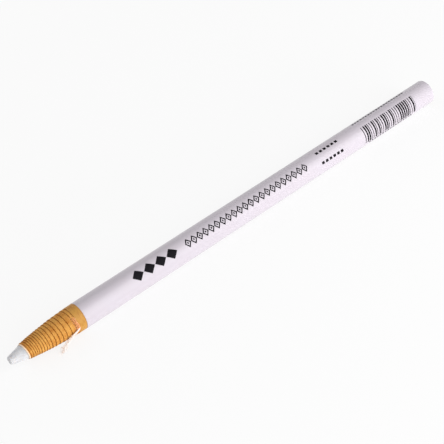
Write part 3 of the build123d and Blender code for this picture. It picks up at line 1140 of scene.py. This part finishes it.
@dataclass
class PullString:
    """The thread under the wrapper and its loose frayed end."""

    layout: Layout
    bed_radius: float = 3.62  # Radius at which it lies under the wrapper
    bed_front: float = 24.0  # Front end of the straight stretch under the wrapper, back from the point
    rise_backs: tuple[float, ...] = (25.0, 22.3, 21.5)  # Points where it starts to rise through the tear
    leave_back: float = 20.65  # Where it leaves the tear
    pivot_back: float = 21.25  # Where its hinge is
    pivot_radius: float = 4.5  # Radius of its hinge, at which it also leaves the tear
    # Further points of the loose end: back from the point, Y and Z.
    loose: tuple[Point, ...] = ((17.8, 4.7, 4.0), (15.4, 4.5, 2.3), (14.3, 4.7, 0.32))
    # Where along the thread from the hinge its bend starts and ends.
    bend: tuple[float, float] = (-0.1, 0.9)
    radius: float = 0.25  # Radius of the whole thread
    strands: int = 6  # Strands twisted together round one in the middle
    lay_length: float = 3.4  # Length of one twist
    fray_from: float = 0.3  # Share of the loose thread where its strands start to spread
    fray_spread: float = 0.5  # How far the strands spread at the end
    fray_thin: float = 0.45  # Share of its radius that a strand loses by the end
    bed_steps: int = 200  # Points along the stretch under the wrapper
    loose_steps: int = 120  # Points along the loose thread
    stray_count: int = 150  # Fine fibres that stand off the thread
    stray_steps: int = 7  # Points along such a fibre
    stray_radius: float = 0.024  # Radius of such a fibre at its root
    stray_lengths: tuple[float, float] = (0.7, 1.7)  # Least and greatest length of such a fibre
    stray_root: float = 0.14  # How far from the thread's middle it starts
    stray_height: float = 0.05  # Least height of its middle over the floor
    floor_gap: float = 0.02  # Least room between the thread and the floor
    seed: int = 5

    def on_line(self, back: float, radius: float) -> np.ndarray:
        """A point of the thread's own half plane."""
        return self.layout.place(np.array(back), np.array(radius), np.array(self.layout.string_angle))

    def loose_points(self) -> np.ndarray:
        """The points of the loose end, in the frame."""
        return np.array([(self.layout.point - back, across, up) for back, across, up in self.loose])

    def loose_route(self) -> np.ndarray:
        """The loose thread's centre line, read from a spline that its route's points guide.

        Returns:
            Points along the smooth line, in millimetres.
        """
        start = [self.on_line(back, self.bed_radius) for back in self.rise_backs]
        leave = self.on_line(self.leave_back, self.pivot_radius)
        route = np.array([*start, leave, *self.loose_points()])
        curve = bpy.data.curves.new("loose_route", "CURVE")
        curve.dimensions = "3D"
        curve.resolution_u = 24
        spline = curve.splines.new("NURBS")
        spline.points.add(len(route) - 1)
        spline.points.foreach_set("co", np.insert(route, 3, 1, axis=1).astype(np.float32).ravel())
        spline.order_u = 3
        spline.use_endpoint_u = True
        holder = bpy.data.objects.new("loose_route", curve)
        line = bpy.data.meshes.new_from_object(holder)
        points = np.empty(len(line.vertices) * 3, np.float32)
        line.vertices.foreach_get("co", points)
        bpy.data.objects.remove(holder)
        bpy.data.curves.remove(curve)
        bpy.data.meshes.remove(line)
        return points.reshape(-1, 3).astype(float)

    def even(self, path: np.ndarray, steps: int) -> np.ndarray:
        """Points evenly spaced along a line.

        Args:
            path: Points of the line.
            steps: How many points to give.

        Returns:
            The new points.
        """
        run = run_length(path)
        wanted = np.linspace(0, run[-1], steps)
        return np.stack([np.interp(wanted, run, path[:, axis]) for axis in range(3)], axis=1)

    def twisted(self, path: np.ndarray, spread: np.ndarray) -> np.ndarray:
        """Lines of the strands, each a helix round the path that wanders as the strands spread.

        Args:
            path: Centre line.
            spread: Radius of the helix at each point.

        Returns:
            The strands' lines, the middle one last.
        """
        run = run_length(path)
        across, beside = cross_axes(path)
        number = np.arange(self.strands)[:, None]
        loose = (spread - spread[0]) / self.fray_spread
        wander = 0.9 * loose * np.sin(1.7 * run + 2.1 * number)
        turn = tau * (run / self.lay_length + number / self.strands) + wander
        reach = spread * (1 + 0.45 * loose * np.sin(2.3 * run + 1.3 * number))
        swing = across * np.cos(turn)[..., None] + beside * np.sin(turn)[..., None]
        return np.concatenate([path + reach[..., None] * swing, path[None]])

    def fibres(self, path: np.ndarray) -> tuple[np.ndarray, np.ndarray]:
        """Fine fibres that stand off the thread, most of them near its end.

        A fibre leaves its root along the thread and bends outwards as the square of its length.

        Args:
            path: Centre line of the loose thread.

        Returns:
            Grids of points and their charts.
        """
        draw = np.random.default_rng(self.seed)
        count = self.stray_count
        root = 1 - 0.75 * draw.beta(1.0, 1.7, count)
        at = np.round(root * (len(path) - 1)).astype(int)
        forward = unit(np.gradient(path, axis=0)[at])
        away = draw.normal(0, 1, (count, 3))
        away = unit(away - forward * np.sum(away * forward, axis=1, keepdims=True))[:, None]
        reach = (draw.uniform(*self.stray_lengths, count) * (0.5 + 0.8 * root))[:, None, None]
        lean = draw.uniform(0.1, 0.6, count)[:, None, None]
        along = np.linspace(0, 1, self.stray_steps)[None, :, None]
        ahead = forward[:, None] * reach * along * (1 - 0.3 * lean * along)
        lines = path[at][:, None] + self.stray_root * away + ahead + away * reach * lean * along**2
        lines[..., 2] = np.maximum(lines[..., 2], self.stray_height)
        radii = self.stray_radius * (1 - 0.6 * along[..., 0]) * np.ones((count, 1))
        return tubes(lines, radii, 3)

    def build(self, material: Material) -> list[Object]:
        """Lay the hidden thread straight and twist the loose one, with stray fibres at its end.

        The loose thread and its fibres are left on no body.

        Args:
            material: The cotton.

        Returns:
            The hidden thread, the loose thread and its fibres.
        """
        strand = self.radius / 3
        rear = self.on_line(self.layout.string_end, self.bed_radius)
        bed = np.linspace(rear, self.on_line(self.bed_front, self.bed_radius), self.bed_steps)
        lines = self.twisted(bed, np.full(len(bed), 2 * strand))
        dressing = Dressing("hidden_thread", material, Slot.THREAD, Body.BARREL, ("pull_string",))
        hidden = add_piece(dressing, *tubes(lines, np.full(lines.shape[:2], strand), 6))

        path = self.even(self.loose_route(), self.loose_steps)
        fray = smooth_step(np.linspace(0, 1, len(path)), self.fray_from, 1.0)
        lines = self.twisted(path, 2 * strand + self.fray_spread * fray**1.5)
        thin = strand * (1 - self.fray_thin * fray) * np.ones((len(lines), 1))
        lines[..., 2] = np.maximum(lines[..., 2], thin + self.floor_gap)
        dressing = Dressing("loose_thread", material, Slot.THREAD, None, ("string_tail",))
        loose = add_piece(dressing, *tubes(lines, thin, 8))
        strays = add_piece(Dressing("stray_fibres", material, Slot.THREAD, None), *self.fibres(path))

        pivot = self.on_line(self.pivot_back, self.pivot_radius)
        for piece in (loose, strays):
            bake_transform(piece)
        return [hidden, loose, strays]


@dataclass(frozen=True)
class Softbox:
    """A rectangular studio lamp, in metres and watts."""

    name: str  # Name of the lamp
    place: Point  # Where it hangs
    aim: Point  # The point that it faces
    size: tuple[float, float]  # Its width along X and its height
    power: float  # Its power
    glossy: bool = True  # Whether glossy surfaces mirror it


@dataclass
class Studio:
    """The floor, lamps, background and camera, in metres."""

    floor_half: float = 3.0  # Half the floor's side
    floor_paint: str = "#FAFAFA"  # Colour of the floor
    camera_place: Point = (0.17726, 0.18865, 0.26692)  # Where the camera stands
    camera_aim: Point = (0.00686, -0.00028, 0.00431)  # What it looks at
    lens: float = 97.5  # Focal length for the sensor, in millimetres
    sensor: float = 36.0  # Width of the sensor, in millimetres
    # How much of the floor's own light and shade the white background covers near the object.
    veil: float = 0.84
    clear_from: float = 0.11  # Distance from the middle where the floor starts to turn plain white
    clear_to: float = 0.3  # Distance where it is plain white
    sky: float = 0.376  # Strength of the light from all round
    # A tall key lamp, a low one along the barrel's side and a fill from the point's end.
    lamps: tuple[Softbox, ...] = (
        Softbox("tall_softbox", (-0.2, 0.329, 0.313), (-0.2, 0.0, 0.0), (0.42, 0.53), 1.48),
        Softbox("low_softbox", (-0.15, 0.7, 0.08), (-0.15, 0.0, 0.0), (0.9, 0.15), 4.16, glossy=False),
        Softbox("front_fill", (0.45, -0.5, 0.35), (0.03, 0.0, 0.0), (0.7, 0.7), 1.76),
    )

    def background_share(self, tree: NodeTree) -> Node:
        """Tell what only sees the background from what is lit by it.

        Args:
            tree: Node tree of the floor or the world.

        Returns:
            Node that is 1 for rays from the camera, from gloss and through glass, and 0 for others.
        """
        path = add_node(tree, "LightPath").outputs
        seen = {0: path["Is Camera Ray"], 1: path["Is Glossy Ray"]}
        direct = add_node(tree, "Math", {"operation": "MAXIMUM", **seen})
        return add_node(tree, "Math", {"operation": "MAXIMUM", 0: direct, 1: path["Is Transmission Ray"]})

    def build_floor(self) -> None:
        """Lay a plain white floor that keeps a faint shadow."""
        half = self.floor_half
        mesh = bpy.data.meshes.new("floor")
        corners = [(-half, -half, 0), (half, -half, 0), (half, half, 0), (-half, half, 0)]
        mesh.from_pydata(corners, [], [(0, 1, 2, 3)])
        floor = bpy.data.objects.new("floor", mesh)
        bpy.context.scene.collection.objects.link(floor)
        material, tree = new_material("white_studio_floor")
        add = partial(add_node, tree)
        paint = add("BsdfDiffuse", {"Color": linear(self.floor_paint)})
        glow = add("Emission", {"Color": WHITE, "Strength": 1.0})
        away = add("VectorMath", {"operation": "LENGTH", 0: add("TexCoord").outputs["Object"]})
        ends = {"From Min": self.clear_from, "From Max": self.clear_to, "To Min": self.veil}
        cover = add("MapRange", {"interpolation_type": "SMOOTHSTEP", "Value": away, **ends})
        share = add("Math", {"operation": "MULTIPLY", 0: self.background_share(tree), 1: cover})
        surface = add("MixShader", {0: share, 1: paint, 2: glow})
        add("OutputMaterial", {"Surface": surface})
        mesh.materials.append(material)

    def build_world(self) -> None:
        """White background for what the camera and gloss see, and a softer white light on the object."""
        world = bpy.data.worlds.new("studio")
        bpy.context.scene.world = world
        world.use_nodes = True
        tree = world.node_tree
        tree.nodes.clear()
        add = partial(add_node, tree)
        light = add("Background", {"Color": WHITE, "Strength": self.sky})
        white = add("Background", {"Color": WHITE, "Strength": 1.0})
        surface = add("MixShader", {0: self.background_share(tree), 1: light, 2: white})
        add("OutputWorld", {"Surface": surface})

    def stand(self, name: str, data: bpy.types.ID, place: Point, aim: Point) -> Object:
        """Stand a lamp or camera at a place, facing a point.

        Args:
            name: Name of the object.
            data: Its lamp or camera.
            place: Where it stands.
            aim: The point that it faces.

        Returns:
            The object.
        """
        holder = bpy.data.objects.new(name, data)
        holder.location = place
        facing = Vector(aim) - Vector(place)
        holder.rotation_euler = facing.to_track_quat("-Z", "Y").to_euler()
        bpy.context.scene.collection.objects.link(holder)
        return holder

    def hang_lamps(self) -> None:
        """Hang the softboxes, out of the camera's sight."""
        for box in self.lamps:
            lamp = bpy.data.lights.new(box.name, "AREA")
            lamp.shape = "RECTANGLE"
            lamp.size, lamp.size_y = box.size
            lamp.energy = box.power
            holder = self.stand(box.name, lamp, box.place, box.aim)
            holder.visible_camera = False
            holder.visible_glossy = box.glossy

    def build_camera(self) -> None:
        """Stand the camera where the photograph was taken from."""
        camera = bpy.data.cameras.new("camera")
        camera.lens = self.lens
        camera.sensor_width = self.sensor
        camera.clip_start, camera.clip_end = 0.01, 50.0
        bpy.context.scene.camera = self.stand("camera", camera, self.camera_place, self.camera_aim)

    def build(self) -> None:
        """Set up the whole studio."""
        self.build_floor()
        self.build_world()
        self.hang_lamps()
        self.build_camera()
        bpy.context.scene.view_settings.view_transform = "Standard"


def main() -> None:
    """Build the marker's pieces in order, then the studio, and note the sizes."""
    logging.basicConfig(level=logging.INFO, format="%(name)s %(message)s")
    layout = Layout.from_frame()
    LOG.info("layout: %s", layout)
    strip = KraftPaper("wound_kraft_strip")
    roll = KraftPaper("rolled_kraft_edges", crest="#DE9E55", fibre_stretch=3.0)
    glazed = KraftPaper("glazed_kraft_wrapper", crest="#C38F40", fleck="#A86D23", roughness=0.5, sheen=0.42)
    torn = LooseFibre("torn_kraft_fibre", pale="#FFC58C", warm="#DB8A48")
    cotton = LooseFibre("spun_cotton_thread")
    wrapper = KraftWrapper(layout)
    pieces = [
        WaxCore(layout).build(CastWax().material()),
        RibbedNose(layout).build(strip.material()),
        WoundBarrel(layout).build(roll.material()),
        wrapper.build(glazed.material()),
        TornFringe(wrapper).build(torn.material()),
        PaperCover(layout).build(CoatedLabel().material()),
        *PullString(layout).build(cotton.material()),
    ]
    for piece in pieces:
        LOG.info("%s: %d faces", piece.name, len(piece.data.polygons))
    Studio().build()


if __name__ == "__main__":
    main()
